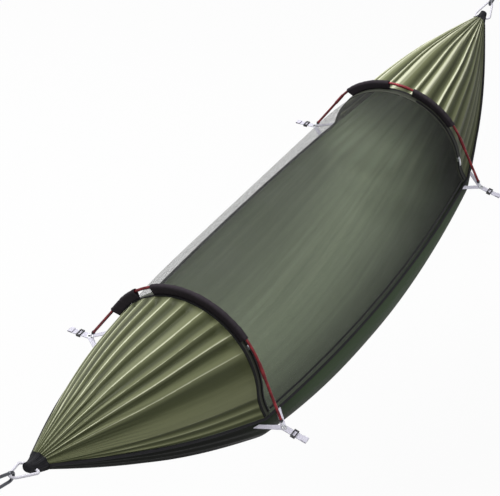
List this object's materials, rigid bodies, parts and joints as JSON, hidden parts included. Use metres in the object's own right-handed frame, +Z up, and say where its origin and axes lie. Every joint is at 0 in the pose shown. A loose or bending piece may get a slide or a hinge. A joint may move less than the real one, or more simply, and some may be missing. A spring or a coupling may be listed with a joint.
{
  "type": "camping hammock",
  "caption": "Gathered-end camping hammock with pleated end covers, a zipped bug net held up by bent arch poles, strapped corners and gated carabiners for hanging.",
  "frame": {"origin": "under the middle of the bed, at its lowest point", "axes": "+X from the foot end to the head end, +Z up, the zipped side is -Y"},
  "size_m": [2.9454, 0.787, 0.6105],
  "materials": {
    "bed_cloth": "woven nylon, dull",
    "cover_cloth": "woven nylon, slight sheen",
    "net_mesh": "fine mesh",
    "trim_cloth": "binding tape",
    "zip_coil": "nylon coil",
    "pole_red": "red anodised",
    "joint_black": "black anodised",
    "cap_plastic": "moulded",
    "pin_steel": "bright",
    "shock_cord": "covered elastic",
    "webbing": "woven webbing",
    "grommet_metal": "rolled",
    "buckle_plastic": "moulded",
    "channel_cloth": "gathered nylon",
    "loop_cord": "braided",
    "carabiner_metal": "bead blasted",
    "gate_metal": "bead blasted",
    "gate_pin_steel": "riveted",
    "spring_steel": "wire",
    "slider_metal": "nickel plated",
    "pull_metal": "nickel plated"
  },
  "bodies": {
    "hammock": {"bed_sheet": "bed_cloth", "foot_cover": "cover_cloth", "head_cover": "cover_cloth", "bug_net": "net_mesh", "near_rim_hem": "trim_cloth", "far_rim_hem": "trim_cloth", "rim_zip": "zip_coil", "foot_edge_binding": "trim_cloth", "head_edge_binding": "trim_cloth", "foot_arch_zip": "zip_coil", "head_arch_zip": "zip_coil", "foot_top_sleeve": "trim_cloth", "foot_far_sleeve": "trim_cloth", "head_near_sleeve": "trim_cloth", "head_far_sleeve": "trim_cloth", "foot_pole_near_end": "pole_red", "foot_pole_near_middle": "pole_red", "foot_pole_far_middle": "pole_red", "foot_pole_far_end": "pole_red", "head_pole_near_end": "pole_red", "head_pole_near_middle": "pole_red", "head_pole_far_middle": "pole_red", "head_pole_far_end": "pole_red", "foot_pole_ferrules": "joint_black", "head_pole_ferrules": "joint_black", "foot_pole_caps": "cap_plastic", "head_pole_caps": "cap_plastic", "foot_pole_pins": "pin_steel", "head_pole_pins": "pin_steel", "foot_shock_cord": "shock_cord", "head_shock_cord": "shock_cord", "foot_near_strap": "webbing", "foot_far_strap": "webbing", "head_near_strap": "webbing", "head_far_strap": "webbing", "foot_near_grommet": "grommet_metal", "foot_far_grommet": "grommet_metal", "head_near_grommet": "grommet_metal", "head_far_grommet": "grommet_metal", "foot_end_channel": "channel_cloth", "head_end_channel": "channel_cloth", "foot_hang_loop": "loop_cord", "head_hang_loop": "loop_cord"},
    "foot_slider": {"foot_zip_slider": "slider_metal"},
    "foot_pull": {"foot_zip_pull": "pull_metal"},
    "foot_near_buckle": {"foot_near_buckle": "buckle_plastic"},
    "foot_far_buckle": {"foot_far_buckle": "buckle_plastic"},
    "foot_carabiner": {"foot_carabiner": "carabiner_metal"},
    "foot_gate": {"foot_gate": "gate_metal", "foot_gate_pin": "gate_pin_steel", "foot_gate_spring": "spring_steel"},
    "head_slider": {"head_zip_slider": "slider_metal"},
    "head_pull": {"head_zip_pull": "pull_metal"},
    "head_near_buckle": {"head_near_buckle": "buckle_plastic"},
    "head_far_buckle": {"head_far_buckle": "buckle_plastic"},
    "head_carabiner": {"head_carabiner": "carabiner_metal"},
    "head_gate": {"head_gate": "gate_metal", "head_gate_pin": "gate_pin_steel", "head_gate_spring": "spring_steel"}
  },
  "joints": [
    {"name": "foot_zip_run", "type": "hinge", "parent": "hammock", "child": "foot_slider", "pos_m": [-0.67157, 0, 0.32058], "axis": [0.9954, 0, -0.0958], "range_deg": [-30.5, 29.5]},
    {"name": "foot_pull_flip", "type": "hinge", "parent": "foot_slider", "child": "foot_pull", "pos_m": [-0.64197, -0.18155, 0.48196], "axis": [-0.9954, 0, 0.0958], "range_deg": [0, 165]},
    {"name": "head_zip_run", "type": "hinge", "parent": "hammock", "child": "head_slider", "pos_m": [0.67157, 0, 0.32058], "axis": [0.9954, 0, 0.0958], "range_deg": [-58.5, 1.5]},
    {"name": "head_pull_flip", "type": "hinge", "parent": "head_slider", "child": "head_pull", "pos_m": [0.65197, -0.23705, 0.37807], "axis": [-0.9954, 0, -0.0958], "range_deg": [0, 165]},
    {"name": "foot_near_buckle_slide", "type": "slide", "parent": "hammock", "child": "foot_near_buckle", "axis": [0, -0.9903, -0.1392], "range_m": [-0.012, 0.012]},
    {"name": "foot_far_buckle_slide", "type": "slide", "parent": "hammock", "child": "foot_far_buckle", "axis": [0, 0.9903, -0.1392], "range_m": [-0.012, 0.012]},
    {"name": "head_near_buckle_slide", "type": "slide", "parent": "hammock", "child": "head_near_buckle", "axis": [0, -0.9903, -0.1392], "range_m": [-0.012, 0.012]},
    {"name": "head_far_buckle_slide", "type": "slide", "parent": "hammock", "child": "head_far_buckle", "axis": [0, 0.9903, -0.1392], "range_m": [-0.012, 0.012]},
    {"name": "foot_carabiner_swing", "type": "hinge", "parent": "hammock", "child": "foot_carabiner", "pos_m": [-1.40341, 0, 0.56855], "axis": [0, -1, 0], "range_deg": [-60, 60]},
    {"name": "foot_gate_open", "type": "hinge", "parent": "foot_carabiner", "child": "foot_gate", "pos_m": [-1.40844, 0, 0.58459], "axis": [0, -1, 0], "range_deg": [0, 28], "stiffness_Nm_per_rad": 0.04, "springref_deg": -22.92},
    {"name": "head_carabiner_swing", "type": "hinge", "parent": "hammock", "child": "head_carabiner", "pos_m": [1.40341, 0, 0.56855], "axis": [0, 1, 0], "range_deg": [-60, 60]},
    {"name": "head_gate_open", "type": "hinge", "parent": "head_carabiner", "child": "head_gate", "pos_m": [1.40844, 0, 0.58459], "axis": [0, 1, 0], "range_deg": [0, 28], "stiffness_Nm_per_rad": 0.04, "springref_deg": -22.92}
  ]
}
